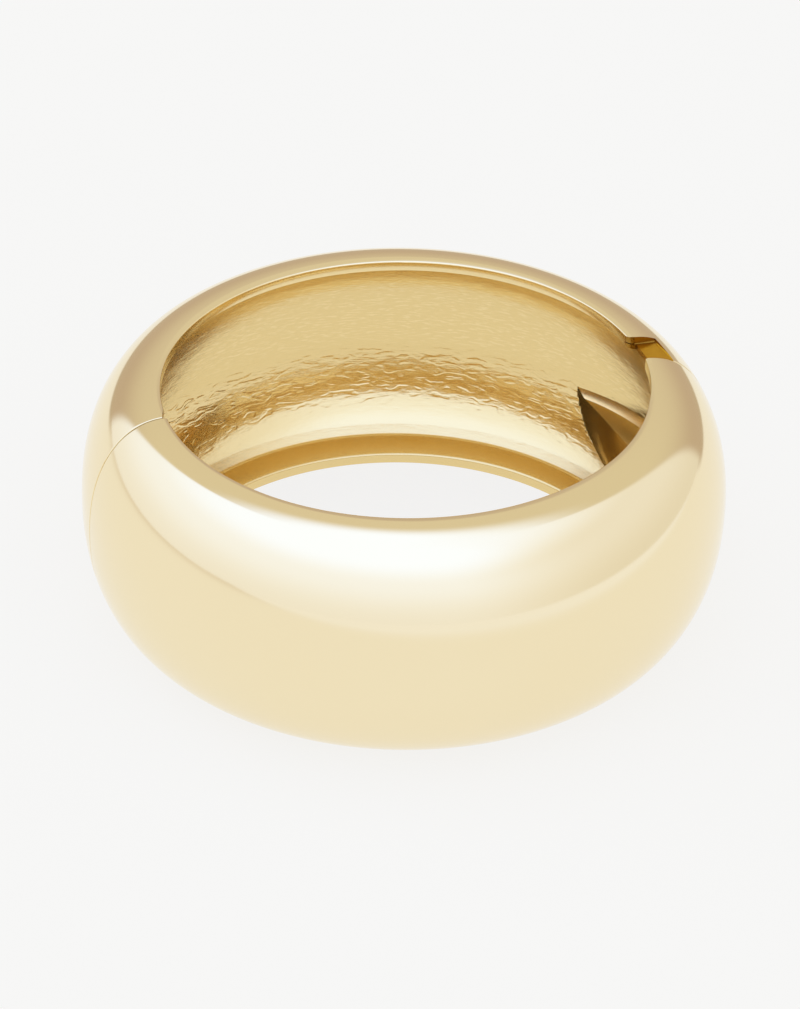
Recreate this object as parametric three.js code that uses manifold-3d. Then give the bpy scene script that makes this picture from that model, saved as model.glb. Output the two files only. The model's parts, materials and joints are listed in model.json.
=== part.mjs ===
// A wide domed bangle that opens on a hinge. Two hollow-cast halves meet at two upright seams.
// A knuckled hinge joins them at +X, and plain ends butt together at -X.
// Millimetres, +Z up, origin at the middle of the footprint, where the rim rests.

import * as THREE from 'three';
import { mergeVertices } from 'three/addons/utils/BufferGeometryUtils.js';
import Module from 'manifold-3d';

// Wrist opening: an oval at the inner edge of the rims
const OPENING_HALF_LENGTH = 30;
const OPENING_HALF_WIDTH = 28.5;
const OPENING_SHIFT = -0.27; // the oval sits a little towards the opening end

// The band's domed outside
const HEIGHT = 31.7;
const BULGE_AT_ENDS = 10;
const BULGE_AT_SIDES = 11;
const DOME_POWER = 2.2; // 2 is an ellipse, and more is fuller at the shoulders

// The section, drawn with the mean bulge and stretched to fit at each angle
const MEAN_BULGE = (BULGE_AT_ENDS + BULGE_AT_SIDES) / 2;
const WALL = 1.8;
const LAND_WIDTH = 1.3;
const EDGE_BEVEL_WIDTH = 0.45;
const EDGE_BEVEL_DEPTH = 0.3;
const LIP_FACE_END = 1.45;
const LIP_STEP = 0.2;
const RING_STEPS = 72;
const DOME_ANGLES = [12, 24, 36, 47, 57, 66, 74, 81];
const HOLLOW_ANGLES = [12, 24, 36, 48, 60, 73]; // the last is where the lip's ledge ends

// The two seams lie on one upright plane, a little in front of the middle
const SEAM_Y = -1.1;
const SEAM_GAP = 0.15;

// Hinge at the +X end, its barrel flush with the dome
const PIN_X = 38.6;
const PIN_RADIUS = 0.55;
const BORE_RADIUS = 0.7;
const BARREL_RADIUS = 1.25;
const KNUCKLE_LENGTH = 2.8;
const KNUCKLE_GAP = 0.3;
const SWING_CLEARANCE = 0.3;
const RELIEF_END = 8.8; // above and below this the dome no longer reaches past the pin
const RELIEF_TIP_RADIUS = 0.25;
const ROUND_SIDES = 24;

// Solid block cast in the lower corner of the back half, beside the hinge
const BLOCK_TOP = -4.8; // from mid-height
const BLOCK_FACE_X = 34.8; // where its flat face meets the seam plane
const BLOCK_FACE_TURN = 11.3; // degrees from the seam's own crosswise direction
const BLOCK_SKIN = 0.9; // the block's back stops this far under the outer skin, inside the wall

// Notch in the back half's upper rim at the hinge. It is open to the wrist and to the seam.
const NOTCH_DEPTH = 1.1;
const NOTCH_END_Y = 3.66;
const NOTCH_OUTER_X = 34.3; // at the seam
const NOTCH_OUTER_END = [33.1, 3.85];
const NOTCH_FACE_X = 31.05; // where its flat inner face meets the seam plane
const NOTCH_FACE_TURN = 6; // degrees, so that it follows the rim
const NOTCH_FACE_DEPTH = 2.65; // the floor is thickened down to here
const NOTCH_FLOOR_END_Y = 7.5;
const NOTCH_FLOOR_COVER = 0.2; // of the rim's own metal, left over the thickening
const LIP_CORNER_X = 30.4; // the rim's inner edge curves round from here
const LIP_CORNER_RUNOUT = [29.25, 4.8];
const LIP_CORNER_PULL = 0.2; // moves the curve's control point off the middle, towards the wrist

// The front half's opening is eased outwards beside the hinge, by moving its oval this way
const EASING_X = 0.8;
const EASING_Y = 1.2;

// Small corner cut on the back half's inner edge at the opening seam
const CORNER_CUT_LENGTH = 2.2;
const CORNER_CUT_DEPTH = 0.6;

const HALF_HEIGHT = HEIGHT / 2;
const REACH = 60; // larger than any piece, for the cutting blocks

const wasm = await Module();
wasm.setup();

function toSolid(geometry) {
  const bare = geometry.index ? geometry.toNonIndexed() : geometry.clone();
  bare.deleteAttribute('normal');
  bare.deleteAttribute('uv');
  const merged = mergeVertices(bare, 1e-4);
  return new wasm.Manifold(new wasm.Mesh({
    numProp: 3,
    vertProperties: new Float32Array(merged.attributes.position.array),
    triVerts: new Uint32Array(merged.index.array),
  }));
}

function toGeometry(solid) {
  const mesh = solid.getMesh();
  const geometry = new THREE.BufferGeometry();
  geometry.setAttribute('position', new THREE.BufferAttribute(mesh.vertProperties, 3));
  geometry.setIndex(new THREE.BufferAttribute(mesh.triVerts, 1));
  geometry.computeVertexNormals();
  return geometry;
}

function block(low, high, turnDegrees = 0, pivot = [0, 0]) {
  const size = high.map((value, axis) => value - low[axis]);
  const geometry = new THREE.BoxGeometry(...size);
  geometry.translate(low[0] + size[0] / 2, low[1] + size[1] / 2, low[2] + size[2] / 2);
  geometry.translate(-pivot[0], -pivot[1], 0);
  geometry.rotateZ(THREE.MathUtils.degToRad(turnDegrees));
  geometry.translate(pivot[0], pivot[1], 0);
  return toSolid(geometry);
}

// Upright round bar on the hinge axis, from one height to another, measured from mid-height
function barOnPin(lowRadius, highRadius, low, high) {
  const geometry = new THREE.CylinderGeometry(highRadius, lowRadius, high - low, ROUND_SIDES);
  geometry.rotateX(Math.PI / 2);
  geometry.translate(PIN_X, SEAM_Y, (low + high) / 2);
  return toSolid(geometry);
}

// Upright wall on an outline in plan
function prism(outline, low, high) {
  const geometry = new THREE.ExtrudeGeometry(outline, {
    depth: high - low,
    bevelEnabled: false,
    curveSegments: 8,
  });
  geometry.translate(0, 0, low);
  return toSolid(geometry);
}

// Sections are [out, up] pairs: out from the opening's edge, and up from mid-height.
// The inset is measured square to the domed outside.
function domePoint(degrees, inset = 0) {
  const angle = THREE.MathUtils.degToRad(degrees);
  const out = MEAN_BULGE * Math.cos(angle) ** (2 / DOME_POWER);
  const up = HALF_HEIGHT * Math.sin(angle) ** (2 / DOME_POWER);
  const fall = 2 - 2 / DOME_POWER;
  const facing = new THREE.Vector2(
    Math.cos(angle) ** fall / MEAN_BULGE,
    Math.sin(angle) ** fall / HALF_HEIGHT,
  ).setLength(inset);
  return [out - facing.x, up - facing.y];
}

function mirroredLoop(upperPoints) {
  const lowerPoints = upperPoints.filter(([, up]) => up > 0).map(([out, up]) => [out, -up]);
  return [...upperPoints, ...lowerPoints.reverse()];
}

function bandSection() {
  const outside = [domePoint(0), ...DOME_ANGLES.map((degrees) => domePoint(degrees))];
  const lip = [
    [LAND_WIDTH, HALF_HEIGHT],
    [EDGE_BEVEL_WIDTH, HALF_HEIGHT],
    [0, HALF_HEIGHT - EDGE_BEVEL_DEPTH],
    [0, HALF_HEIGHT - LIP_FACE_END],
    [LIP_STEP, HALF_HEIGHT - LIP_FACE_END - LIP_STEP],
  ];
  const hollow = [...HOLLOW_ANGLES].reverse().map((degrees) => domePoint(degrees, WALL));
  return mirroredLoop([...outside, ...lip, ...hollow, domePoint(0, WALL)]);
}

// A full ring of a section, turned about the axis and then drawn out to the oval
function ring(section) {
  const points = [...section, section[0]].map(
    ([out, up]) => new THREE.Vector2(OPENING_HALF_LENGTH + out, up),
  );
  const geometry = new THREE.LatheGeometry(points, RING_STEPS);
  geometry.rotateX(Math.PI / 2);
  const position = geometry.attributes.position;
  for (let i = 0; i < position.count; i += 1) {
    const angle = Math.atan2(position.getY(i), position.getX(i));
    const out = Math.hypot(position.getX(i), position.getY(i)) - OPENING_HALF_LENGTH;
    const share = out / MEAN_BULGE;
    const halfLength = OPENING_HALF_LENGTH + BULGE_AT_ENDS * share;
    const halfWidth = OPENING_HALF_WIDTH + BULGE_AT_SIDES * share;
    const shift = OPENING_SHIFT * (1 - share);
    position.setX(i, halfLength * Math.cos(angle) + shift);
    position.setY(i, halfWidth * Math.sin(angle));
  }
  return toSolid(geometry);
}

// The same ring with no hollow, its outer skin moved in by the inset
function filledRing(inset) {
  const outside = [0, ...DOME_ANGLES].map((degrees) => domePoint(degrees, inset));
  const rim = inset === 0 ? [[LAND_WIDTH, HALF_HEIGHT], [0, HALF_HEIGHT]] : [[0, outside.at(-1)[1]]];
  return ring(mirroredLoop([...outside, ...rim]));
}

const frontSide = block([-REACH, -REACH, -REACH], [REACH, SEAM_Y - SEAM_GAP / 2, REACH]);
const backSide = block([-REACH, SEAM_Y + SEAM_GAP / 2, -REACH], [REACH, REACH, REACH]);

// Knuckles: the back half holds the upper and lower ones, and the front half the middle one
const middleEnd = KNUCKLE_LENGTH / 2;
const outerStart = middleEnd + KNUCKLE_GAP;
const outerEnd = outerStart + KNUCKLE_LENGTH;
const swingRadius = BARREL_RADIUS + SWING_CLEARANCE;

function knuckle(low, high) {
  return barOnPin(BARREL_RADIUS, BARREL_RADIUS, low, high);
}

function swingRoom(low, high) {
  return barOnPin(swingRadius, swingRadius, low, high);
}

const pinBore = barOnPin(BORE_RADIUS, BORE_RADIUS, -outerEnd - 1, outerEnd + 1);
const outline = filledRing(0);

function makeEasing() {
  const geometry = new THREE.CylinderGeometry(1, 1, 2 * REACH, RING_STEPS);
  geometry.rotateX(Math.PI / 2);
  geometry.scale(OPENING_HALF_LENGTH, OPENING_HALF_WIDTH, 1);
  geometry.translate(OPENING_SHIFT + EASING_X, EASING_Y, 0);
  return toSolid(geometry);
}

function makeFrontHalf(band) {
  return band
    .intersect(frontSide)
    .subtract(makeEasing())
    .subtract(swingRoom(middleEnd, outerEnd + KNUCKLE_GAP))
    .subtract(swingRoom(-outerEnd - KNUCKLE_GAP, -middleEnd))
    .add(knuckle(-middleEnd, middleEnd).intersect(outline))
    .subtract(pinBore);
}

function makeBlock() {
  const behindFace = block(
    [BLOCK_FACE_X, SEAM_Y - REACH, -REACH],
    [BLOCK_FACE_X + REACH, SEAM_Y + REACH, BLOCK_TOP],
    BLOCK_FACE_TURN,
    [BLOCK_FACE_X, SEAM_Y],
  );
  return filledRing(BLOCK_SKIN).intersect(behindFace).intersect(backSide);
}

function notchFaceX(y) {
  return NOTCH_FACE_X - Math.tan(THREE.MathUtils.degToRad(NOTCH_FACE_TURN)) * (y - SEAM_Y);
}

// Cuts down from the top of the rim, with the given corners past the curve of the rim's inner edge
function notchCut(corners, depth) {
  const [runoutX, runoutY] = LIP_CORNER_RUNOUT;
  const outline = new THREE.Shape();
  outline.moveTo(0, SEAM_Y - 1);
  corners.forEach(([x, y]) => outline.lineTo(x, y));
  outline.lineTo(LIP_CORNER_X, NOTCH_END_Y);
  outline.quadraticCurveTo((LIP_CORNER_X + runoutX) / 2 - LIP_CORNER_PULL, NOTCH_END_Y, runoutX, runoutY);
  outline.lineTo(0, runoutY);
  return prism(outline, HALF_HEIGHT - depth, HALF_HEIGHT + 1);
}

function makeNotch() {
  return notchCut([[NOTCH_OUTER_X, SEAM_Y - 1], NOTCH_OUTER_END], NOTCH_DEPTH);
}

function makeNotchFace() {
  const corners = [[notchFaceX(SEAM_Y - 1), SEAM_Y - 1], [notchFaceX(NOTCH_END_Y), NOTCH_END_Y]];
  return notchCut(corners, NOTCH_FACE_DEPTH);
}

// Metal under the notch, so that its floor is nearly as thick as the wall
function makeNotchFloor() {
  const outline = new THREE.Shape();
  outline.moveTo(notchFaceX(SEAM_Y - 1), SEAM_Y - 1);
  outline.lineTo(NOTCH_OUTER_X, SEAM_Y - 1);
  outline.lineTo(NOTCH_OUTER_X, NOTCH_FLOOR_END_Y);
  outline.lineTo(notchFaceX(NOTCH_FLOOR_END_Y), NOTCH_FLOOR_END_Y);
  const top = HALF_HEIGHT - NOTCH_DEPTH - NOTCH_FLOOR_COVER;
  const floor = prism(outline, HALF_HEIGHT - NOTCH_FACE_DEPTH, top);
  return floor.intersect(filledRing(BLOCK_SKIN)).intersect(backSide);
}

function makeCornerCut() {
  const turn = THREE.MathUtils.radToDeg(Math.atan2(CORNER_CUT_DEPTH, CORNER_CUT_LENGTH));
  const cornerX = -OPENING_HALF_LENGTH + OPENING_SHIFT - CORNER_CUT_DEPTH;
  return block(
    [cornerX, SEAM_Y - 1, -REACH],
    [cornerX + 2 * CORNER_CUT_DEPTH, SEAM_Y + CORNER_CUT_LENGTH, REACH],
    -turn,
    [cornerX, SEAM_Y],
  );
}

function makeBackHalf(band) {
  const taperStart = outerEnd;
  const taperRadius = swingRadius - KNUCKLE_GAP;
  return band
    .intersect(backSide)
    .subtract(swingRoom(-middleEnd - KNUCKLE_GAP, middleEnd + KNUCKLE_GAP))
    .subtract(barOnPin(taperRadius, RELIEF_TIP_RADIUS, taperStart, RELIEF_END))
    .subtract(barOnPin(RELIEF_TIP_RADIUS, taperRadius, -RELIEF_END, -taperStart))
    .add(makeNotchFloor())
    .subtract(makeNotch())
    .subtract(makeNotchFace())
    .subtract(makeCornerCut())
    .add(makeBlock())
    .add(knuckle(outerStart, outerEnd).intersect(outline))
    .add(knuckle(-outerEnd, -outerStart).intersect(outline))
    .subtract(pinBore);
}

const castGold = { color: 0xe2c58d, roughness: 0.22, metalness: 1 };
const pinGold = { color: 0xcfae72, roughness: 0.35, metalness: 1 };

function piece(name, solid, finish) {
  const mesh = new THREE.Mesh(toGeometry(solid), new THREE.MeshStandardMaterial(finish));
  mesh.name = name;
  mesh.position.z = HALF_HEIGHT;
  return mesh;
}

const band = ring(bandSection());
const group = new THREE.Group();
group.add(piece('front_half', makeFrontHalf(band), castGold));
group.add(piece('back_half', makeBackHalf(band), castGold));
group.add(piece('hinge_pin', barOnPin(PIN_RADIUS, PIN_RADIUS, -outerEnd, outerEnd), pinGold));

export default group;
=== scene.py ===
import json
import math

import bmesh
import bpy
from mathutils import Matrix, Vector


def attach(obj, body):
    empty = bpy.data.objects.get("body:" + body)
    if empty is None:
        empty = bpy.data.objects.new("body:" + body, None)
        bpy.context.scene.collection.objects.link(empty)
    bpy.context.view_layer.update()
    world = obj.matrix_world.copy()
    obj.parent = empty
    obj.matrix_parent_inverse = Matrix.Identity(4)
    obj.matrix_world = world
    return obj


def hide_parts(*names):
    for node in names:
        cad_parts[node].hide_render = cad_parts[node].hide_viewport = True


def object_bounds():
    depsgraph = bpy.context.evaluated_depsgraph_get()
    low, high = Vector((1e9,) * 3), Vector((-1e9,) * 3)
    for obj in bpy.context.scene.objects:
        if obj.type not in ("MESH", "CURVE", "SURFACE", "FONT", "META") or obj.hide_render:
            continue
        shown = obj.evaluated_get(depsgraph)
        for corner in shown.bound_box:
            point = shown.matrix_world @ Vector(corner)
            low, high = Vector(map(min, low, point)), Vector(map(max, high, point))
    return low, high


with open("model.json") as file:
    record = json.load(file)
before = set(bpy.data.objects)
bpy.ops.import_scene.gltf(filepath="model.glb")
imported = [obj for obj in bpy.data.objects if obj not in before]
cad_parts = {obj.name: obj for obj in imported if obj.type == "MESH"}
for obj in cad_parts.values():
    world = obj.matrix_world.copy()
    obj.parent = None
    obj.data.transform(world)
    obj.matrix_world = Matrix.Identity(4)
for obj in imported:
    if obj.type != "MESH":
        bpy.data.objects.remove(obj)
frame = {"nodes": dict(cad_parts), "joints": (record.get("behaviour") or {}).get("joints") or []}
cad_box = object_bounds()

# A wide domed bangle: two hollow-cast halves, closed at two upright seams and joined by a hinge at +X.
# Every size is in metres, in the frame's own axes. A section is drawn as [out, up] pairs: out from the
# opening's edge, and up from mid-height.

MM = 0.001

# Overall size, from the frame
LOW, HIGH = cad_box
HALF_LENGTH = (HIGH.x - LOW.x) / 2
HALF_WIDTH = (HIGH.y - LOW.y) / 2
HALF_HEIGHT = (HIGH.z - LOW.z) / 2
HINGE = Vector(frame["joints"][0]["pos_m"])

# The band
BULGE_AT_ENDS = 10 * MM
BULGE_AT_SIDES = 11 * MM
MEAN_BULGE = (BULGE_AT_ENDS + BULGE_AT_SIDES) / 2
OPENING_SHIFT = -0.27 * MM
DOME_POWER = 2.2
WALL = 1.8 * MM
SEAM_GAP = 0.12 * MM
SEAM_ROUND = 0.13 * MM

# The lip around the opening. It stands further in at the sides than at the two seams.
EDGE_BEVEL_WIDTH = 0.5 * MM
EDGE_BEVEL_DEPTH = 0.17 * MM
LIP_FACE_END = 1.45 * MM
LIP_STEP = 0.2 * MM
LIP_STAND = 0.45 * MM
WALL_FOOT = Vector((2.95 * MM, 13.58 * MM))
HOLLOW_ANGLE = math.radians(62)
CAST_START = 0.18 * MM

# The uneven cast surface of the hollow, which fades in beyond the lips' ledges
DENT_DEPTH = 0.035 * MM
DENT_RISE = 1.6 * MM
DENT_LENGTH = 4.5 * MM
DENT_WIDTH = 1.6 * MM
MEAN_RADIUS = 35 * MM

# How finely the halves are drawn
DOME_ROWS = 56
HOLLOW_ROWS = 66
STATIONS = 230
CORNER_STEPS = 3
ROUND_SIDES = 48
EASING_SIDES = 240
SHARP_ANGLE = math.radians(35)

# Hinge
BORE_RADIUS = 0.7 * MM
BARREL_RADIUS = 1.25 * MM
BARREL_BEVEL = 0.1 * MM
KNUCKLE_LENGTH = 2.8 * MM
KNUCKLE_GAP = 0.3 * MM
SWING_CLEARANCE = 0.3 * MM
RELIEF_END = 8.8 * MM
RELIEF_TIP_RADIUS = 0.25 * MM
MIDDLE_END = KNUCKLE_LENGTH / 2
OUTER_START = MIDDLE_END + KNUCKLE_GAP
OUTER_END = OUTER_START + KNUCKLE_LENGTH
SWING_RADIUS = BARREL_RADIUS + SWING_CLEARANCE

# Cast block inside the back half, beside the hinge
BLOCK_FACE_X = 34.8 * MM
BLOCK_FACE_TURN = math.radians(11.3)
BLOCK_INWARD = Vector((math.cos(BLOCK_FACE_TURN), math.sin(BLOCK_FACE_TURN), 0))
BLOCK_LENGTH = 26 * MM
BLOCK_DEPTH = 8 * MM
BLOCK_TOP = -4.7 * MM
BLOCK_EDGE = 0.06 * MM
BLOCK_LEDGE_RISE = 0.2
BEAD_WIDTH = 0.8 * MM
BLOCK_SKIN = 0.9 * MM

# Notch in the back half's upper rim at the hinge. It is open to the wrist and to the seam.
NOTCH_DEPTH = 1.1 * MM
NOTCH_END_Y = 3.66 * MM
NOTCH_OUTER_X = 34.3 * MM
NOTCH_OUTER_END = Vector((33.1 * MM, 3.85 * MM))
NOTCH_EASE = 0.2 * MM
NOTCH_RIM_EASE = 0.05 * MM
NOTCH_FACE_X = 31.05 * MM
NOTCH_FACE_TURN = math.radians(6)
NOTCH_FACE_DEPTH = 2.65 * MM
NOTCH_FLOOR_END_Y = 7.5 * MM
LIP_CORNER = Vector((29.62 * MM, NOTCH_END_Y))
LIP_RUNOUT = Vector((29.25 * MM, 4.8 * MM))

# The front half's opening is eased outwards beside the hinge, by moving its oval this way
EASING_X = 0.8 * MM
EASING_Y = 1.2 * MM
EASING_INSET = 0.25 * MM

# Corner cut on the back half's inner edge at the opening seam
CORNER_CUT_LENGTH = 2.2 * MM
CORNER_CUT_DEPTH = 0.6 * MM


# ---------------------------------------------------------------- node trees

class Wire:
    """An output of a node, used as a number in an expression."""

    def __init__(self, sheet, socket):
        self.sheet = sheet
        self.socket = socket

    def maths(self, operation, *values):
        return self.sheet.node("ShaderNodeMath", {"operation": operation}, *values)

    def __add__(self, other):
        return self.maths("ADD", self, other)

    def __sub__(self, other):
        return self.maths("SUBTRACT", self, other)

    def __rsub__(self, other):
        return self.maths("SUBTRACT", other, self)

    def __mul__(self, other):
        return self.maths("MULTIPLY", self, other)

    def __truediv__(self, other):
        return self.maths("DIVIDE", self, other)

    __radd__ = __add__
    __rmul__ = __mul__

    def sin(self):
        return self.maths("SINE", self)

    def cos(self):
        return self.maths("COSINE", self)

    def arcsin(self):
        return self.maths("ARCSINE", self)

    def arctan(self, across):
        return self.maths("ARCTAN2", self, across)

    def sqrt(self):
        return self.maths("SQRT", self)

    def power(self, exponent):
        return self.maths("POWER", self, exponent)

    def above(self, limit):
        return self.maths("GREATER_THAN", self, limit)

    def split(self):
        """The three parts of a vector."""
        parts = self.sheet.node("ShaderNodeSeparateXYZ", None, self).socket.node
        return [Wire(self.sheet, output) for output in parts.outputs]

    def step(self, low, high):
        """Rises smoothly from 0 at low to 1 at high."""
        settings = {"interpolation_type": "SMOOTHSTEP"}
        sockets = {"Value": self, "From Min": low, "From Max": high}
        return self.sheet.node("ShaderNodeMapRange", settings, sockets)

    def within(self, low, full_low, full_high, high):
        """Rises from 0 to 1 between the first two values, and falls back between the last two."""
        return self.step(low, full_low) * (1 - self.step(full_high, high))


class Sheet:
    """A node tree, drawn from left to right."""

    def __init__(self, tree):
        self.tree = tree

    def node(self, kind, settings=None, *values, out=0):
        """Adds a node, sets it up, fills its sockets, and returns one output as a Wire."""
        node = self.tree.nodes.new(kind)
        for name, value in (settings or {}).items():
            setattr(node, name, value)
        named = values[0] if len(values) == 1 and isinstance(values[0], dict) else dict(enumerate(values))
        for name, value in named.items():
            self.fill(node.inputs[name], value)
        return Wire(self, node.outputs[out])

    def fill(self, socket, value):
        if isinstance(value, Wire):
            self.tree.links.new(value.socket, socket)
        else:
            socket.default_value = value

    def vector(self, x, y, z=0):
        return self.node("ShaderNodeCombineXYZ", None, x, y, z)

    def noise(self, place, scale, detail, **more):
        sockets = {"Vector": place, "Scale": scale, "Detail": detail, **more}
        return self.node("ShaderNodeTexNoise", None, sockets)

    def blend(self, share, first, second):
        """Mixes two colours, each a Wire or three numbers."""
        first, second = (part if isinstance(part, Wire) else (*part, 1) for part in (first, second))
        sockets = {"Factor": share, 6: first, 7: second}
        return self.node("ShaderNodeMix", {"data_type": "RGBA"}, sockets, out=2)


def mixed(share, first, second):
    """The first number where the share is 0, and the second where it is 1."""
    return first + share * (second - first)


# ---------------------------------------------------------------- small mesh helpers

def new_object(name, mesh):
    piece = bpy.data.objects.new(name, mesh)
    bpy.context.scene.collection.objects.link(piece)
    return piece


def bake(piece):
    """Replaces a piece's mesh by what its modifiers make of it."""
    bpy.context.view_layer.update()
    graph = bpy.context.evaluated_depsgraph_get()
    mesh = bpy.data.meshes.new_from_object(
        piece.evaluated_get(graph), preserve_all_data_layers=True, depsgraph=graph)
    piece.modifiers.clear()
    piece.data = mesh
    return piece


def discard(*pieces):
    for piece in pieces:
        bpy.data.objects.remove(piece)


def combine(piece, tool, operation):
    """Cuts the tool from the piece, joins it on, or keeps what they share. The tool is used up."""
    joiner = piece.modifiers.new(operation.lower(), "BOOLEAN")
    joiner.operation = operation
    joiner.object = tool
    joiner.solver = "MANIFOLD"
    joiner.material_mode = "TRANSFER"
    bake(piece)
    discard(tool)
    return piece


def solid(name, build, material):
    """A closed mesh made by a function that fills a bmesh, with its faces turned outwards."""
    shape = bmesh.new()
    build(shape)
    bmesh.ops.recalc_face_normals(shape, faces=shape.faces)
    mesh = bpy.data.meshes.new(name)
    shape.to_mesh(mesh)
    shape.free()
    mesh.materials.append(material)
    return new_object(name, mesh)


def ease(shape, edges, bevel):
    """Rounds the edges, where there is a bevel to give them."""
    if bevel:
        bmesh.ops.bevel(shape, geom=edges, offset=bevel, segments=3, profile=0.5, affect="EDGES")


def grown(corners, distance):
    """A closed outline in plan, drawn counter-clockwise, with every side moved out by the distance."""
    moved = []
    for before, corner, after in zip(corners[-1:] + corners[:-1], corners, corners[1:] + corners[:1]):
        first, second = (corner - before).normalized(), (after - corner).normalized()
        facing = Vector((first.y + second.y, -first.x - second.x))
        moved.append(corner + facing * (distance / (1 + first.dot(second))))
    return moved


def prism(name, corners, levels, material, bevel=0.0):
    """Upright walls on an outline, through [height, growth] levels, with the lowest edges eased."""
    def build(shape):
        rings = [
            [shape.verts.new((*place, height)) for place in grown(corners, growth)]
            for height, growth in levels
        ]
        foot = shape.faces.new(rings[0])
        shape.faces.new(rings[-1])
        for lower, upper in zip(rings, rings[1:]):
            for i, corner in enumerate(lower):
                shape.faces.new((lower[i - 1], corner, upper[i], upper[i - 1]))
        ease(shape, list(foot.edges), bevel)
    return solid(name, build, material)


def top_levels(depth, edge):
    """The levels of a cut down from the upper rim's top, with its upper edge eased."""
    top = 2 * HALF_HEIGHT
    return [(top - depth, 0), (top - edge, 0), (top + MM, edge + MM)]


def bar(name, low_radius, high_radius, low, high, material, bevel=0.0):
    """An upright round bar on the hinge axis, from one height to another, measured from mid-height."""
    def build(shape):
        radii = {"radius1": low_radius, "radius2": high_radius}
        bmesh.ops.create_cone(shape, cap_ends=True, segments=ROUND_SIDES, depth=high - low, **radii)
        middle = HINGE.z + (low + high) / 2
        bmesh.ops.translate(shape, verts=shape.verts, vec=(HINGE.x, HINGE.y, middle))
        level = [edge for edge in shape.edges if abs(edge.verts[0].co.z - edge.verts[1].co.z) < MM / 100]
        ease(shape, level, bevel)
    return solid(name, build, material)


def turned_box(low, high, turn, pivot):
    """The four corners of a box in plan, turned about a pivot."""
    corners = [(low[0], low[1]), (high[0], low[1]), (high[0], high[1]), (low[0], high[1])]
    spin = Matrix.Rotation(turn, 2)
    return [spin @ (Vector(corner) - Vector(pivot)) + Vector(pivot) for corner in corners]


# ---------------------------------------------------------------- finishes

PALE_GOLD = (0.93, 0.81, 0.55)
WARM_PALE_GOLD = (0.92, 0.79, 0.52)
# The cast gold's paler colour also carries its painted reflection and painted glints.
CAST_GOLD = (0.92, 0.75, 0.41)
DARK_CAST_GOLD = (0.83, 0.64, 0.30)
DEEP_GOLD = (0.78, 0.54, 0.20)
DARK_DEEP_GOLD = (0.70, 0.46, 0.15)
# Painted light and shade on the block: a paler ledge and a deeper upright face.
LIT_LEDGE_GOLD = (0.96, 0.76, 0.40)
DARK_LIT_LEDGE_GOLD = (0.93, 0.71, 0.35)
SHADED_FACE_GOLD = (0.74, 0.49, 0.16)
# The notch's deep yellow is painted reflection, and its brown end is painted shade.
REFLECTED_NOTCH_GOLD = (0.67, 0.37, 0.025)
DARK_REFLECTED_NOTCH_GOLD = (0.52, 0.27, 0.015)
SHADED_NOTCH_END_GOLD = (0.36, 0.19, 0.03)
WIRE_GOLD = (0.80, 0.62, 0.33)
DARK_WIRE_GOLD = (0.72, 0.52, 0.24)

# Where the cast surface changes, in millimetres up from the floor. The two sheen bands are painted
# reflection, paler low in the hollow and just under the upper lip; the glints band holds painted glints.
LOW_FOOT = (HALF_HEIGHT - WALL_FOOT.y) / MM
HIGH_FOOT = (HALF_HEIGHT + WALL_FOOT.y) / MM
FADE = DENT_RISE / MM
PAINTED_SHEEN_BAND = (1.9, 2.5, 8.5, 13)
PAINTED_SHEEN_UNDER_LIP = (26, 28.5)
GLINTS_FROM = (12, 15)
ROUGH_BAND = (3, 7.5, 10.5, 14)

# How far the painted light on the block's ledge fades below its top edge.
LIT_LEDGE_FADE = 0.3 * MM
# How far the notch's painted shade reaches from its end wall.
NOTCH_SHADE_LENGTH = 0.8 * MM


def new_finish(name):
    finish = bpy.data.materials.new(name)
    finish.use_nodes = True
    sheet = Sheet(finish.node_tree)
    shader = finish.node_tree.nodes["Principled BSDF"]
    shader.inputs["Metallic"].default_value = 1
    place = sheet.node("ShaderNodeTexCoord", out="Object")
    return finish, sheet, shader, place


def dress(sheet, shader, base, roughness, relief, strength, depth):
    """Gives a finish its colour, its roughness and its fine relief."""
    sheet.fill(shader.inputs["Base Color"], base)
    sheet.fill(shader.inputs["Roughness"], roughness)
    bump = sheet.node("ShaderNodeBump", None, {"Strength": strength, "Distance": depth, "Height": relief})
    sheet.fill(shader.inputs["Normal"], bump)


def polished_gold():
    """Plated and buffed: a pale mirror with the faint waviness that buffing leaves."""
    finish, sheet, shader, place = new_finish("polished gold")
    haze = sheet.noise(place, 90, 3)
    tint = sheet.noise(place, 35, 2)
    waves = sheet.noise(place, 160, 2)
    base = sheet.blend(tint, PALE_GOLD, WARM_PALE_GOLD)
    dress(sheet, shader, base, 0.07 + 0.05 * haze, waves, 0.3, 0.01 * MM)
    return finish


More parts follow.
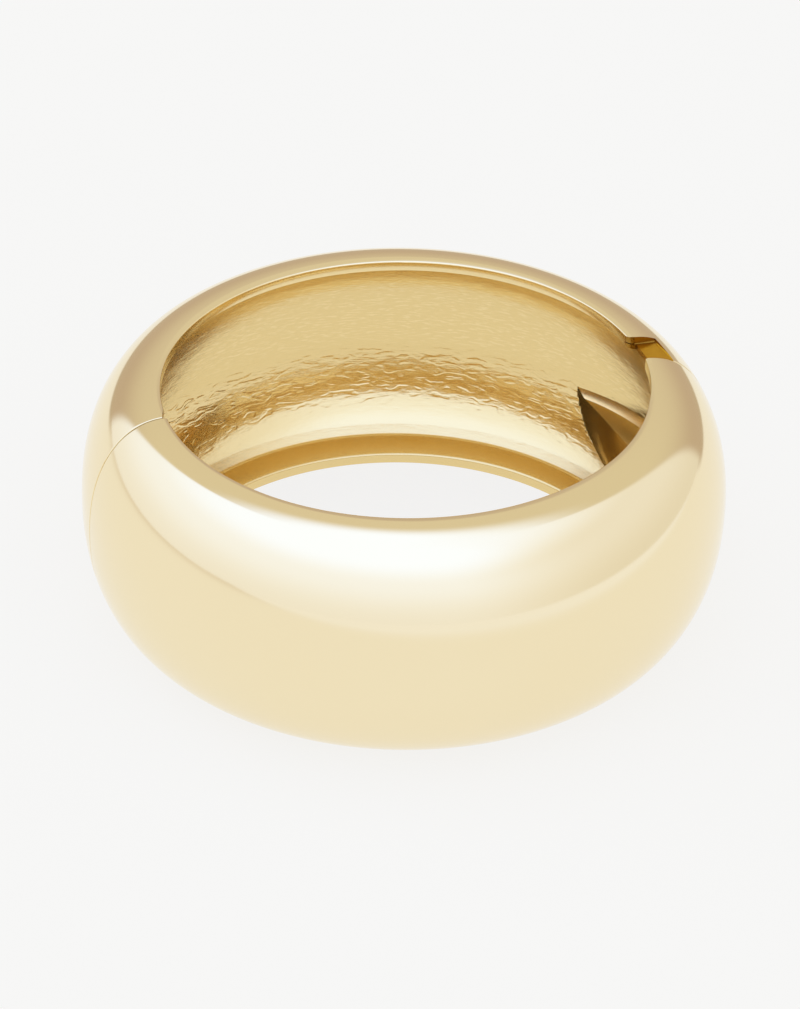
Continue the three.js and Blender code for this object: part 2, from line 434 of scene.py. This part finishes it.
def cast_gold():
    """Plated as cast: wrinkles, flecks and dashes that run around the band, with none on the lip. Its
    colour holds painted reflection in two paler bands, and painted glints on the dashes higher up.
    """
    finish, sheet, shader, place = new_finish("cast gold")
    x, y, height = (part / MM for part in place.split())
    along = MEAN_RADIUS / MM * (y - HINGE.y / MM).arctan(x)
    reach = (x * x + y * y).sqrt()
    wander = 1.2 * sheet.noise(place, 350, 2)

    def streaks(length, width, drift, detail, **more):
        """Noise drawn out around the band. The length and width of a streak are in millimetres."""
        spot = sheet.vector(along / length, (height + drift) / width, reach / width)
        return sheet.noise(spot, 1, detail, **more)

    wrinkles = streaks(2.0, 0.7, wander, 1, Roughness=0.45, Distortion=0.3)
    flecks = streaks(1.7, 0.6, wander, 0)
    dashes = streaks(1.1, 0.22, 0, 1)
    pits = sheet.noise(place, 3200, 3)

    # Painted reflection: the colour is paler low in the hollow, where the wall mirrors the bright overhead
    # light, and just under the upper lip.
    paler = height.within(*PAINTED_SHEEN_BAND) + 0.9 * height.step(*PAINTED_SHEEN_UNDER_LIP)
    # Painted glints: paler dashes in the colour, from 12 mm up.
    painted_glints = 0.5 * dashes.step(0.5, 0.7) * height.step(*GLINTS_FROM)
    base = sheet.blend(0.85 * paler + 0.15 * pits + painted_glints, DARK_CAST_GOLD, CAST_GOLD)

    rough = height.within(*ROUGH_BAND)
    raised = 0.7 * flecks.step(0.52, 0.72)
    relief = (0.35 + 0.65 * rough) * wrinkles + rough * raised + 0.3 * dashes + 0.08 * pits
    hollow = height.within(LOW_FOOT, LOW_FOOT + FADE, HIGH_FOOT - FADE, HIGH_FOOT)
    dress(sheet, shader, base, 0.14 + 0.08 * pits, hollow * relief, 1.0, 0.036 * MM)
    return finish


def tooled_gold():
    """Gold with fine tool marks: the corner cut and the hinge's cuts."""
    finish, sheet, shader, place = new_finish("tooled gold")
    marks = sheet.noise(place, 900, 3)
    base = sheet.blend(marks, DEEP_GOLD, DARK_DEEP_GOLD)
    dress(sheet, shader, base, 0.2 + 0.15 * marks, marks, 0.5, 0.03 * MM)
    return finish


def notch_gold():
    """The notch: a deep yellow that is painted reflection, turning brown towards its end wall as painted
    shade.
    """
    finish, sheet, shader, place = new_finish("notch gold")
    marks = sheet.noise(place, 900, 3)
    # Painted shade: the colour turns brown towards the notch's end wall.
    end_shade = place.split()[1].step(NOTCH_END_Y - NOTCH_SHADE_LENGTH, NOTCH_END_Y)
    base = sheet.blend(end_shade, sheet.blend(marks, REFLECTED_NOTCH_GOLD, DARK_REFLECTED_NOTCH_GOLD), SHADED_NOTCH_END_GOLD)
    dress(sheet, shader, base, 0.16 + 0.15 * marks, marks, 0.6, 0.03 * MM)
    return finish


def block_gold():
    """The cast block, smoother than the wall around it, with a paler ledge above its upright face: painted
    light on the ledge and painted shade on the face.
    """
    finish, sheet, shader, place = new_finish("block gold")
    swirl = sheet.noise(place, 260, 2)
    face_top = HALF_HEIGHT + BLOCK_TOP
    # Painted light and shade: the ledge is paler, and the upright face below it deeper.
    ledge = place.split()[2].step(face_top - LIT_LEDGE_FADE, face_top)
    face = sheet.blend(swirl, DEEP_GOLD, SHADED_FACE_GOLD)
    base = sheet.blend(ledge, face, sheet.blend(swirl, LIT_LEDGE_GOLD, DARK_LIT_LEDGE_GOLD))
    dress(sheet, shader, base, 0.12 + 0.06 * swirl, swirl, 0.3, 0.02 * MM)
    return finish


def pin_gold():
    """Drawn wire: fine rings across the pin."""
    finish, sheet, shader, place = new_finish("pin gold")
    sockets = {"Vector": place, "Scale": 2500, "Distortion": 1}
    rings = sheet.node("ShaderNodeTexWave", {"bands_direction": "Z"}, sockets)
    sheet.fill(shader.inputs["Base Color"], sheet.blend(rings, DARK_WIRE_GOLD, WIRE_GOLD))
    sheet.fill(shader.inputs["Roughness"], 0.25 + 0.1 * rings)
    return finish


POLISHED = polished_gold()
CAST = cast_gold()
TOOLED = tooled_gold()
NOTCH_GOLD = notch_gold()
BLOCK_GOLD = block_gold()
PIN = pin_gold()


# ---------------------------------------------------------------- the band's section

def dome_point(angle, inset=0.0):
    """A point under the domed outside, the inset measured square to it."""
    rise, fall = 2 / DOME_POWER, 2 - 2 / DOME_POWER
    place = Vector((MEAN_BULGE * math.cos(angle) ** rise, HALF_HEIGHT * math.sin(angle) ** rise))
    facing = Vector((math.cos(angle) ** fall / MEAN_BULGE, math.sin(angle) ** fall / HALF_HEIGHT))
    return place - inset * facing.normalized()


def rounded(points, radii, steps=CORNER_STEPS):
    """A polyline whose inner corners are eased, each by its own radius."""
    eased = [points[0]]
    for before, corner, after, radius in zip(points, points[1:], points[2:], radii):
        start = corner + (before - corner).normalized() * radius
        end = corner + (after - corner).normalized() * radius
        for share in spaced(steps + 1, 0, 1):
            eased.append(start.lerp(corner, share).lerp(corner.lerp(end, share), share))
    return eased + [points[-1]]


def spaced(count, first, last):
    return [first + (last - first) * step / (count - 1) for step in range(count)]


def dome_rows(inset=0.0):
    """The outside from mid-height up to the edge of the bevel."""
    last = math.acos((EDGE_BEVEL_WIDTH / MEAN_BULGE) ** (DOME_POWER / 2))
    return [dome_point(angle, inset) for angle in spaced(DOME_ROWS, 0, last)]


def lip_rows():
    """The bevel, the lip's upright face, and the cove behind it."""
    return rounded(
        [
            dome_rows()[-2],
            Vector((EDGE_BEVEL_WIDTH, HALF_HEIGHT)),
            Vector((0, HALF_HEIGHT - EDGE_BEVEL_DEPTH)),
            Vector((0, HALF_HEIGHT - LIP_FACE_END)),
            Vector((LIP_STEP, HALF_HEIGHT - LIP_FACE_END - LIP_STEP)),
            WALL_FOOT,
            hollow_rows()[0],
        ],
        [0.1 * MM, 0.12 * MM, 0.08 * MM, 0.08 * MM, 0.3 * MM],
    )[1:]


def hollow_rows():
    """The hollow's wall from near the lip's ledge down to mid-height."""
    return [dome_point(angle, WALL) for angle in spaced(HOLLOW_ROWS, HOLLOW_ANGLE, 0)]


def mirrored(rows):
    below = [Vector((row.x, -row.y)) for row in rows if row.y > 0.001 * MM]
    return rows + below[::-1]


def band_section():
    return mirrored(dome_rows()[:-1] + lip_rows() + hollow_rows()[1:])


def filled_section(inset):
    """The same outline with no hollow, moved in by the inset."""
    rows = dome_rows(inset)[:-1]
    return mirrored(rows + [Vector((0, rows[-1].y))])


# ---------------------------------------------------------------- the cast halves

def loop_object(name, rows, closed, values):
    """A chain of points with named values on them, which the sweep reads."""
    count = len(rows)
    edges = [(i, (i + 1) % count) for i in range(count if closed else count - 1)]
    mesh = bpy.data.meshes.new(name)
    mesh.from_pydata([tuple(row) for row in rows], edges, [])
    for label, numbers in values.items():
        mesh.attributes.new(label, "FLOAT", "POINT").data.foreach_set("value", numbers)
    return new_object(name, mesh)


def section_object(name, rows):
    """The section, with the way it faces, its length so far, and where it is lip, cast or dented."""
    count = len(rows)
    face_out, face_up, run, cast, dent, lip = [], [], [], [], [], []
    length = 0.0
    for i, row in enumerate(rows):
        across = (rows[(i + 1) % count] - rows[i - 1]).normalized()
        face_out.append(across.y)
        face_up.append(-across.x)
        length += (row - rows[i - 1]).length if i else 0
        run.append(length)
        inside = abs(row.y) < HALF_HEIGHT - CAST_START
        under_dome = row.x < dome_out(abs(row.y)) - WALL / 2
        cast.append(1.0 if inside and under_dome else 0.0)
        dent.append(cast[-1] * min(1, max(0, (WALL_FOOT.y - abs(row.y)) / DENT_RISE)))
        lip.append(max(0, 1 - row.x / EDGE_BEVEL_WIDTH))
    values = {"out": [row.x for row in rows], "up": [row.y for row in rows],
              "face_out": face_out, "face_up": face_up, "run": run, "cast": cast, "dent": dent, "lip": lip}
    return loop_object(name, [Vector((row.x, row.y, 0)) for row in rows], True, values)


def dome_out(up):
    return MEAN_BULGE * (1 - (up / HALF_HEIGHT) ** DOME_POWER) ** (1 / DOME_POWER)


def stations_object(name):
    """The places along a half, crowded at both ends, where the edges are rounded."""
    around = math.pi * (HALF_LENGTH + HALF_WIDTH - MEAN_BULGE) / 2
    turns = spaced(5, 0, math.pi / 2)
    step = SEAM_ROUND / around
    ends = [(step * (1 - math.cos(turn)), SEAM_ROUND * (1 - math.sin(turn))) for turn in turns]
    middle = [(share, 0) for share in spaced(STATIONS, 2 * ends[-1][0], 1 - 2 * ends[-1][0])]
    rows = ends + middle + [(1 - share, inset) for share, inset in reversed(ends)]
    values = {"share": [share for share, _ in rows], "inset": [inset for _, inset in rows]}
    return loop_object(name, [Vector((0, 0, share)) for share, _ in rows], False, values)


def add_input(tree, name, kind, value=None):
    socket = tree.interface.new_socket(name, in_out="INPUT", socket_type=kind)
    if value is not None:
        socket.default_value = value
    return socket.identifier


def half_tree():
    """Sweeps the section along half of the oval, and gives the hollow its uneven cast surface."""
    tree = bpy.data.node_groups.new("cast half", "GeometryNodeTree")
    sheet = Sheet(tree)
    inputs = {
        name: add_input(tree, name, kind, value) for name, kind, value in [
            ("Section", "NodeSocketObject", None),
            ("Stations", "NodeSocketObject", None),
            ("Side", "NodeSocketFloat", 1.0),
            ("Seam", "NodeSocketFloat", 0.0),
            ("Half Length", "NodeSocketFloat", HALF_LENGTH),
            ("Half Width", "NodeSocketFloat", HALF_WIDTH),
            ("Bulge At Ends", "NodeSocketFloat", BULGE_AT_ENDS),
            ("Bulge At Sides", "NodeSocketFloat", BULGE_AT_SIDES),
            ("Opening Shift", "NodeSocketFloat", OPENING_SHIFT),
            ("Lip Stand", "NodeSocketFloat", LIP_STAND),
            ("Climb", "NodeSocketFloat", 0.0),
            ("Half Height", "NodeSocketFloat", HALF_HEIGHT),
            ("Dent Depth", "NodeSocketFloat", 0.0),
            ("Seed", "NodeSocketFloat", 7.0),
            ("Skin", "NodeSocketMaterial", None),
            ("Hollow", "NodeSocketMaterial", None),
        ]
    }
    tree.interface.new_socket("Geometry", in_out="OUTPUT", socket_type="NodeSocketGeometry")
    entry = tree.nodes.new("NodeGroupInput")

    def given(name):
        return Wire(sheet, entry.outputs[name])

    def value_of(name):
        settings = {"data_type": "FLOAT"}
        return sheet.node("GeometryNodeInputNamedAttribute", settings, {"Name": name})

    def chain(name):
        points = sheet.node("GeometryNodeObjectInfo", None, {"Object": given(name)}, out="Geometry")
        return sheet.node("GeometryNodeMeshToCurve", None, {"Mesh": points})

    swept = sheet.node("GeometryNodeCurveToMesh", None, {
        "Curve": chain("Stations"), "Profile Curve": chain("Section"), "Fill Caps": True})

    # Place along the half, counted the other way on the front half so that its faces still point out
    share = 0.5 + given("Side") * (value_of("share") - 0.5)
    cast, dent = value_of("cast"), value_of("dent")
    run, length = value_of("run"), share * (math.pi * MEAN_RADIUS)
    dents = sheet.node("ShaderNodeTexNoise", {"noise_dimensions": "4D"}, {
        "Vector": sheet.vector(length / DENT_LENGTH, run / DENT_WIDTH),
        "W": given("Seed") + given("Side"), "Scale": 1, "Detail": 1})
    rise = dent * given("Dent Depth") * (dents - 0.5) - value_of("inset")
    out = value_of("out") + rise * value_of("face_out")
    up = value_of("up") + rise * value_of("face_up")

    # The oval: the further out, the nearer to the outside's own half length and width
    depth = 1 - out / MEAN_BULGE
    half_length = given("Half Length") - given("Bulge At Ends") * depth
    stand = given("Lip Stand") * value_of("lip")
    half_width = given("Half Width") - given("Bulge At Sides") * depth - stand
    first = (given("Side") * given("Seam") / half_width).arcsin()
    angle = first + (math.pi - 2 * first) * share
    x = half_length * angle.cos() + given("Opening Shift") * depth
    y = given("Side") * half_width * angle.sin()
    behind_face = (x - BLOCK_FACE_X) * BLOCK_INWARD.x + (y - HINGE.y) * BLOCK_INWARD.y
    place = sheet.vector(x, y, given("Half Height") + up + given("Climb") * behind_face)
    outward = sheet.node("GeometryNodeFlipFaces", None, {"Mesh": swept})
    shaped = sheet.node("GeometryNodeSetPosition", None, {"Geometry": outward, "Position": place})
    whole = sheet.node("GeometryNodeRealizeInstances", None, {"Geometry": shaped})
    skinned = sheet.node("GeometryNodeSetMaterial", None, {"Geometry": whole, "Material": given("Skin")})
    lining = (cast + value_of("inset") / SEAM_ROUND).above(0.3)
    lined = sheet.node("GeometryNodeSetMaterial", None, {
        "Geometry": skinned, "Selection": lining, "Material": given("Hollow")})
    result = tree.nodes.new("NodeGroupOutput")
    tree.links.new(lined.socket, result.inputs[0])
    return tree, inputs


HALF_TREE, HALF_INPUTS = half_tree()
SHARED_STATIONS = stations_object("stations")
BACK, FRONT = 1.0, -1.0


def sweep(name, rows, side, seam, dents=0.0, hollow=None, climb=0.0):
    """A half ring of a section. The side is BACK or FRONT, and the seam is the Y of its two end faces."""
    section = section_object(name + "_section", rows)
    piece = new_object(name, bpy.data.meshes.new(name))
    nodes = piece.modifiers.new("cast half", "NODES")
    nodes.node_group = HALF_TREE
    given = {"Section": section, "Stations": SHARED_STATIONS, "Side": side, "Seam": seam,
             "Dent Depth": dents, "Climb": climb, "Skin": POLISHED, "Hollow": hollow or POLISHED}
    for label, value in given.items():
        nodes[HALF_INPUTS[label]] = value
    bake(piece)
    discard(section)
    return piece


def knuckle(name, low, high, side):
    """A hinge knuckle, trimmed flush with the outside of the band."""
    seam = HINGE.y - side * 2 * BARREL_RADIUS
    outline = sweep(name + "_outline", filled_section(0), side, seam)
    barrel = bar(name, BARREL_RADIUS, BARREL_RADIUS, low, high, TOOLED, BARREL_BEVEL)
    return combine(barrel, outline, "INTERSECT")


def swing_room(low, high):
    return bar("swing_room", SWING_RADIUS, SWING_RADIUS, low, high, TOOLED)


def pin_bore():
    return bar("pin_bore", BORE_RADIUS, BORE_RADIUS, -OUTER_END - MM, OUTER_END + MM, TOOLED)


def finish_half(piece, body, node):
    """Smooth shading with crisp edges, then the frame's own calls."""
    piece.data.shade_smooth()
    piece.data.set_sharp_from_angle(angle=SHARP_ANGLE)
    weight = piece.modifiers.new("even shading", "WEIGHTED_NORMAL")
    weight.keep_sharp = True
    weight.weight = 60
    bake(piece)
    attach(piece, body)
    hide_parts(node)
    return piece


def make_front_shell():
    seam = HINGE.y - SEAM_GAP / 2
    piece = sweep("front_shell", band_section(), FRONT, seam, DENT_DEPTH, CAST)
    combine(piece, make_easing(), "DIFFERENCE")
    combine(piece, swing_room(MIDDLE_END, OUTER_END + KNUCKLE_GAP), "DIFFERENCE")
    combine(piece, swing_room(-OUTER_END - KNUCKLE_GAP, -MIDDLE_END), "DIFFERENCE")
    combine(piece, knuckle("middle_knuckle", -MIDDLE_END, MIDDLE_END, FRONT), "UNION")
    combine(piece, pin_bore(), "DIFFERENCE")
    return finish_half(piece, "front", "front_half")


def make_easing():
    """An oval tool that eases the front half's opening beside the hinge, edge bevels and all."""
    half_length = HALF_LENGTH - BULGE_AT_ENDS - EASING_INSET
    half_width = HALF_WIDTH - BULGE_AT_SIDES - EASING_INSET
    turns = spaced(EASING_SIDES + 1, 0, 2 * math.pi)[:-1]
    middle = Vector((OPENING_SHIFT + EASING_X, EASING_Y))
    oval = [middle + Vector((half_length * math.cos(turn), half_width * math.sin(turn))) for turn in turns]
    top = 2 * HALF_HEIGHT
    depth, width = EDGE_BEVEL_DEPTH, EDGE_BEVEL_WIDTH
    levels = [(-depth, 2 * width), (depth, 0), (top - depth, 0), (top + depth, 2 * width)]
    return prism("easing", oval, levels, POLISHED)


def make_block():
    """The cast block: a flat upright face, and a ledge that climbs to a rounded bead along the wall."""
    along = Vector((-BLOCK_INWARD.y, BLOCK_INWARD.x, 0))
    start = Vector((BLOCK_FACE_X, HINGE.y, HALF_HEIGHT))
    profile = rounded(
        [
            Vector((0, -HALF_HEIGHT)),
            Vector((0, BLOCK_TOP)),
            Vector((BLOCK_DEPTH, BLOCK_TOP + BLOCK_LEDGE_RISE * BLOCK_DEPTH)),
            Vector((BLOCK_DEPTH, -HALF_HEIGHT)),
        ],
        [BLOCK_EDGE, 0],
    )

    def build(shape):
        near = [start + BLOCK_INWARD * depth + Vector((0, 0, up)) for depth, up in profile]
        foot = shape.faces.new([shape.verts.new(point) for point in near])
        moved = bmesh.ops.extrude_face_region(shape, geom=[foot])["geom"]
        far = [part for part in moved if isinstance(part, bmesh.types.BMVert)]
        bmesh.ops.translate(shape, verts=far, vec=along * BLOCK_LENGTH)
        bmesh.ops.remove_doubles(shape, verts=shape.verts, dist=0.001 * MM)

    block = solid("hinge_block", build, BLOCK_GOLD)
    seam = HINGE.y + SEAM_GAP / 2
    core = sweep("block_core", filled_section(BLOCK_SKIN), BACK, seam)
    return combine(block, core, "INTERSECT")


def make_bead():
    """The rounded bead where the block's ledge meets the wall."""
    angle = math.asin((-BLOCK_TOP / HALF_HEIGHT) ** (DOME_POWER / 2))
    foot = Vector((dome_point(angle, WALL).x - BEAD_WIDTH, BLOCK_TOP))
    shares = [(0, -1), (2, -1), (2, 1.4), (0.5, 0.45), (0, 0)]
    rows = [foot + BEAD_WIDTH * Vector(share) for share in shares]
    bead = sweep("block_bead", rows, BACK, HINGE.y + SEAM_GAP / 2, 0.0, BLOCK_GOLD, BLOCK_LEDGE_RISE)
    low = (BLOCK_FACE_X, HINGE.y - MM)
    high = (BLOCK_FACE_X + BLOCK_DEPTH, HINGE.y + BLOCK_LENGTH)
    corners = turned_box(low, high, BLOCK_FACE_TURN, (BLOCK_FACE_X, HINGE.y))
    above_block = prism("above_block", corners, [(0, 0), (2 * HALF_HEIGHT, 0)], BLOCK_GOLD)
    return combine(bead, above_block, "INTERSECT")


def notch_face(y):
    """A point on the notch's flat inner face, which follows the rim."""
    return Vector((NOTCH_FACE_X - math.tan(NOTCH_FACE_TURN) * (y - HINGE.y), y))


def notch_cut(name, corners, depth, material, ease=0.0):
    """Cuts down from the top of the rim, with its corners past the curve of the rim's inner edge."""
    curve = rounded([corners[-1], LIP_CORNER, LIP_RUNOUT], [(LIP_CORNER.x - LIP_RUNOUT.x) * 2], 6)
    outline = [Vector((0, corners[0].y)), *corners[:-1], *curve, Vector((0, LIP_RUNOUT.y))]
    return prism(name, outline, top_levels(depth, NOTCH_RIM_EASE), material, ease)


def make_notch():
    corners = [Vector((NOTCH_OUTER_X, HINGE.y - MM)), NOTCH_OUTER_END]
    return notch_cut("notch", corners, NOTCH_DEPTH, NOTCH_GOLD, NOTCH_EASE)


def make_notch_face():
    corners = [notch_face(HINGE.y - MM), notch_face(NOTCH_END_Y)]
    return notch_cut("notch_face", corners, NOTCH_FACE_DEPTH, NOTCH_GOLD)


def make_notch_floor():
    """Metal under the notch, so that its floor is as thick as the wall."""
    start_y = HINGE.y - MM
    corners = [
        notch_face(start_y),
        Vector((NOTCH_OUTER_X, start_y)),
        Vector((NOTCH_OUTER_X, NOTCH_FLOOR_END_Y)),
        notch_face(NOTCH_FLOOR_END_Y),
    ]
    top = 2 * HALF_HEIGHT
    levels = [(top - NOTCH_FACE_DEPTH, 0), (top - NOTCH_DEPTH - NOTCH_EASE, 0)]
    core = sweep("notch_core", filled_section(BLOCK_SKIN), BACK, HINGE.y + SEAM_GAP / 2)
    return combine(prism("notch_floor", corners, levels, CAST), core, "INTERSECT")


def make_corner_cut():
    turn = math.atan2(CORNER_CUT_DEPTH, CORNER_CUT_LENGTH)
    corner_x = BULGE_AT_ENDS - HALF_LENGTH + OPENING_SHIFT - CORNER_CUT_DEPTH
    low = (corner_x, HINGE.y - MM)
    high = (corner_x + 2 * CORNER_CUT_DEPTH, HINGE.y + CORNER_CUT_LENGTH)
    corners = turned_box(low, high, -turn, (corner_x, HINGE.y))
    return prism("corner_cut", corners, [(-MM, 0), (2 * HALF_HEIGHT + MM, 0)], TOOLED)


def make_back_shell():
    seam = HINGE.y + SEAM_GAP / 2
    piece = sweep("back_shell", band_section(), BACK, seam, DENT_DEPTH, CAST)
    taper = SWING_RADIUS - KNUCKLE_GAP
    combine(piece, swing_room(-MIDDLE_END - KNUCKLE_GAP, MIDDLE_END + KNUCKLE_GAP), "DIFFERENCE")
    combine(piece, bar("relief", taper, RELIEF_TIP_RADIUS, OUTER_END, RELIEF_END, TOOLED), "DIFFERENCE")
    combine(piece, bar("relief", RELIEF_TIP_RADIUS, taper, -RELIEF_END, -OUTER_END, TOOLED), "DIFFERENCE")
    combine(piece, make_notch_floor(), "UNION")
    combine(piece, make_notch(), "DIFFERENCE")
    combine(piece, make_notch_face(), "DIFFERENCE")
    combine(piece, make_corner_cut(), "DIFFERENCE")
    combine(piece, make_block(), "UNION")
    combine(piece, make_bead(), "UNION")
    combine(piece, knuckle("upper_knuckle", OUTER_START, OUTER_END, BACK), "UNION")
    combine(piece, knuckle("lower_knuckle", -OUTER_END, -OUTER_START, BACK), "UNION")
    combine(piece, pin_bore(), "DIFFERENCE")
    return finish_half(piece, "back", "back_half")


make_front_shell()
make_back_shell()
discard(SHARED_STATIONS)
frame["nodes"]["hinge_pin"].data.materials.clear()
frame["nodes"]["hinge_pin"].data.materials.append(PIN)


# ---------------------------------------------------------------- studio

PAPER = (0.118, 0.108, 0.082)
PALE_PAPER = (0.122, 0.112, 0.085)
FLOOR_GLOW = (0.815, 0.815, 0.815)
COOL_GLOW = (0.85, 0.88, 0.97)
WARM_GLOW = (0.70, 0.66, 0.62)
DIM_GLOW = (0.45, 0.36, 0.27)

# Directions in plan, in degrees from -Y round by +X
AHEAD = 15
RIGHT = 100
BACK_PANEL = 161
AWAY = 164

# The tent's red, green and blue at a light level: a base, a slope, a curve and the curve's power
TENT = [(0.71, 0.36, 0, 1), (0.68, 0.35, 0.22, 3), (0.56, 0.55, 0.69, 4)]
# The dim panel's red, green and blue: at its foot, and how much they grow towards its top
PANEL = [(0.57, 0.18), (0.47, 0.22), (0.38, 0.17)]

CAMERA_AZIMUTH = math.radians(-16.2966)
CAMERA_ELEVATION = math.radians(35.128)
CAMERA_ROLL = math.radians(2.09)
CAMERA_DISTANCE = 464.38 * MM
LENS = 133.1
LENS_SHIFT = (-0.00195, -0.0160)


def towards(x, y, azimuth):
    """How far a place lies in a direction."""
    turn = math.radians(azimuth)
    return math.sin(turn) * x - math.cos(turn) * y


def make_floor():
    """A pale floor that glows, so that shadows on it stay faint. Its glow is painted light: cooler ahead,
    warmer and dimmer far to the left, and dim behind the bangle as painted shade.
    """
    finish = bpy.data.materials.new("pale floor")
    finish.use_nodes = True
    sheet = Sheet(finish.node_tree)
    shader = finish.node_tree.nodes["Principled BSDF"]
    place = sheet.node("ShaderNodeTexCoord", out="Object")
    x, y, _ = place.split()
    reach = (x * x + y * y).sqrt()
    ahead = towards(x, y, AHEAD).step(0.1, 0.25)
    behind = towards(x, y, AWAY).step(0.22, 0.3) * (towards(x, y, BACK_PANEL) / reach).step(0.56, 0.70)
    far_left = reach.step(0.2, 0.9) * (x / reach).step(0.1, -0.8)
    # Painted light and shade in the floor's glow: cooler ahead, warmer and dimmer far left, dim behind the
    # bangle.
    glow = sheet.blend(ahead, sheet.blend(far_left, FLOOR_GLOW, WARM_GLOW), COOL_GLOW)
    sheet.fill(shader.inputs["Base Color"], sheet.blend(sheet.noise(place, 30, 3), PAPER, PALE_PAPER))
    sheet.fill(shader.inputs["Emission Color"], sheet.blend(behind, glow, DIM_GLOW))
    shader.inputs["Emission Strength"].default_value = 1
    shader.inputs["Roughness"].default_value = 0.9
    shader.inputs["Specular IOR Level"].default_value = 0

    def build(shape):
        bmesh.ops.create_grid(shape, x_segments=1, y_segments=1, size=3)

    floor = solid("floor", build, finish)


def make_sky():
    """A soft tent: bright and cool overhead, dimmer to the right, with a dim panel behind the bangle."""
    world = bpy.data.worlds.new("studio")
    bpy.context.scene.world = world
    world.use_nodes = True
    sheet = Sheet(world.node_tree)
    x, y, z = sheet.node("ShaderNodeTexCoord", out="Generated").split()
    flat = (1 - z * z).sqrt()
    right = (towards(x, y, RIGHT) / flat).step(-0.1, 1.0)
    overhead = (z - 0.12 * right).step(0.57, 0.9)
    level = 0.66 + 0.2 * z.step(-0.05, 0.6) + 0.14 * overhead - 0.28 * right * (1 - overhead)
    panel = (towards(x, y, BACK_PANEL) / flat).step(0.643, 0.707) * (1 - z.step(0.80, 0.95))
    rise = z.step(0.1, 0.7)
    channels = []
    for (base, slope, curve, power), (foot, growth) in zip(TENT, PANEL):
        tent = base + slope * level + curve * level.power(power)
        channels.append(mixed(panel, tent, foot + growth * rise))
    sheet.fill(world.node_tree.nodes["Background"].inputs["Color"], sheet.vector(*channels))


def make_camera():
    """Looks down on the bangle from the front, a little from its opening side."""
    around = Matrix.Rotation(CAMERA_AZIMUTH, 3, "Z")
    away = around @ Vector((0, -math.cos(CAMERA_ELEVATION), math.sin(CAMERA_ELEVATION)))
    lens = bpy.data.cameras.new("camera")
    lens.lens = LENS
    lens.sensor_width = 36
    lens.shift_x, lens.shift_y = LENS_SHIFT
    lens.clip_start = 0.01
    camera = bpy.data.objects.new("camera", lens)
    bpy.context.scene.collection.objects.link(camera)
    stand = Matrix.Translation(Vector((OPENING_SHIFT, 0, HALF_HEIGHT)) + CAMERA_DISTANCE * away)
    aim = away.to_track_quat("Z", "Y").to_matrix().to_4x4()
    camera.matrix_world = stand @ aim @ Matrix.Rotation(CAMERA_ROLL, 4, "Z")
    bpy.context.scene.camera = camera


make_floor()
make_sky()
make_camera()
bpy.context.scene.view_settings.view_transform = "Standard"
